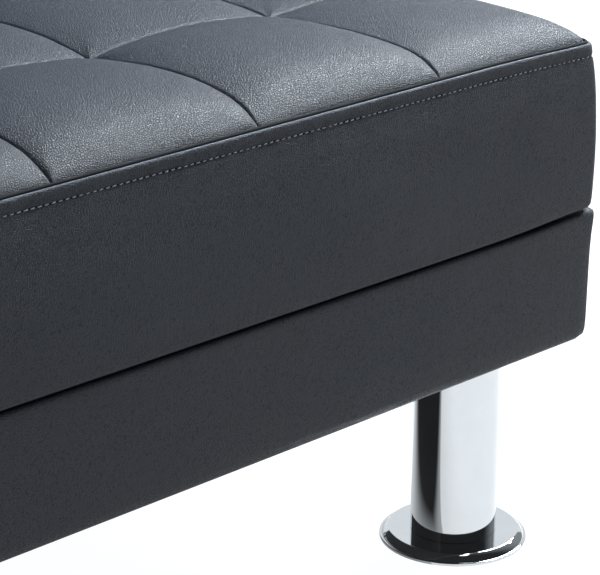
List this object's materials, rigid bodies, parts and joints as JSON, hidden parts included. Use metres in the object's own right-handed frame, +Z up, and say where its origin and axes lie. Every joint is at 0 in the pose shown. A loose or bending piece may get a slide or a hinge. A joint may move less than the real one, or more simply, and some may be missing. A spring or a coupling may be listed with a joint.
{
  "type": "futon sofa bed",
  "caption": "Armless click-clack futon sofa bed with biscuit-tufted seat and back slabs that fold flat, on an upholstered box base with round chrome legs.",
  "frame": {"origin": "on the floor, under the middle of the sofa's overall outline with the back upright", "axes": "+X along the sofa to its right end as a sitter in front of it sees it from -Y, -Y is the front, +Z is up"},
  "size_m": [1.844, 0.8638, 0.8042],
  "materials": {
    "leathercloth": "pebbled charcoal leathercloth, satin",
    "foam": "open-cell polyurethane foam",
    "felt": "needled insulator felt",
    "glide_felt": "pressed felt",
    "dust_cloth": "black non-woven cloth",
    "rear_panel": "board covered in charcoal leathercloth",
    "spring_wire": "drawn spring steel",
    "clip_plastic": "moulded polypropylene",
    "chrome": "bright chrome plate",
    "black_paint": "satin black powder coat",
    "black_plastic": "moulded black plastic",
    "hinge_paint": "satin black powder coat",
    "zinc_steel": "bright zinc plate",
    "timber": "planed softwood and plywood"
  },
  "bodies": {
    "base": {"base_corner_blocks": "timber", "base_cover_ends": "leathercloth", "base_cover_front": "leathercloth", "base_cover_rear": "leathercloth", "base_crease_rail": "timber", "base_cross_beams": "timber", "base_dust_cover": "dust_cloth", "base_end_boards": "timber", "base_long_boards": "timber", "base_rear_deck": "rear_panel", "centre_leg_cap": "black_plastic", "centre_leg_tube": "black_paint", "hinge_base_brackets": "hinge_paint", "hinge_bolts": "zinc_steel", "hinge_lock_nuts": "zinc_steel", "hinge_screws_base": "zinc_steel", "hinge_washers": "zinc_steel", "leg_foot_discs": "chrome", "leg_foot_screws": "zinc_steel", "leg_glides": "glide_felt", "leg_plugs": "zinc_steel", "leg_studs": "zinc_steel", "leg_tee_nuts": "zinc_steel", "leg_tube_front_left": "chrome", "leg_tube_front_right": "chrome", "leg_tube_rear_left": "chrome", "leg_tube_rear_right": "chrome"},
    "seat": {"hinge_screws_seat": "zinc_steel", "hinge_seat_plates": "hinge_paint", "pawl_spring_left": "spring_wire", "pawl_spring_right": "spring_wire", "seat_boxing_crease": "leathercloth", "seat_boxing_ends": "leathercloth", "seat_boxing_front": "leathercloth", "seat_cross_rails": "timber", "seat_foam": "foam", "seat_front_rail": "timber", "seat_insulator_felt": "felt", "seat_rear_rail": "timber", "seat_side_rails": "timber", "seat_spring_clips": "clip_plastic", "seat_springs": "spring_wire", "seat_tufted_panel": "leathercloth"},
    "back": {"back_boxing_crease": "leathercloth", "back_boxing_ends": "leathercloth", "back_boxing_top": "leathercloth", "back_cross_rails": "timber", "back_foam": "foam", "back_insulator_felt": "felt", "back_lower_rail": "timber", "back_rear_panel": "rear_panel", "back_side_rails": "timber", "back_spring_clips": "clip_plastic", "back_springs": "spring_wire", "back_tufted_panel": "leathercloth", "back_upper_rail": "timber", "hinge_back_plates": "hinge_paint", "hinge_screws_back": "zinc_steel"},
    "pawl_left": {"hinge_pawl_left": "hinge_paint"},
    "pawl_right": {"hinge_pawl_right": "hinge_paint"}
  },
  "joints": [
    {"name": "back_recline", "type": "hinge", "parent": "base", "child": "back", "pos_m": [0, 0.20409, 0.352], "axis": [-1, 0, 0], "range_deg": [-6, 75]},
    {"name": "seat_lift", "type": "hinge", "parent": "base", "child": "seat", "pos_m": [0, 0.20409, 0.352], "axis": [-1, 0, 0], "range_deg": [0, 25]},
    {"name": "pawl_left", "type": "hinge", "parent": "seat", "child": "pawl_left", "pos_m": [-0.9, 0.16809, 0.325], "axis": [-1, 0, 0], "range_deg": [0, 12], "stiffness_Nm_per_rad": 0.05, "springref_deg": -17.19, "deforming": ["pawl_spring_left"]},
    {"name": "pawl_right", "type": "hinge", "parent": "seat", "child": "pawl_right", "pos_m": [0.9, 0.16809, 0.325], "axis": [-1, 0, 0], "range_deg": [0, 12], "stiffness_Nm_per_rad": 0.05, "springref_deg": -17.19, "deforming": ["pawl_spring_right"]}
  ]
}
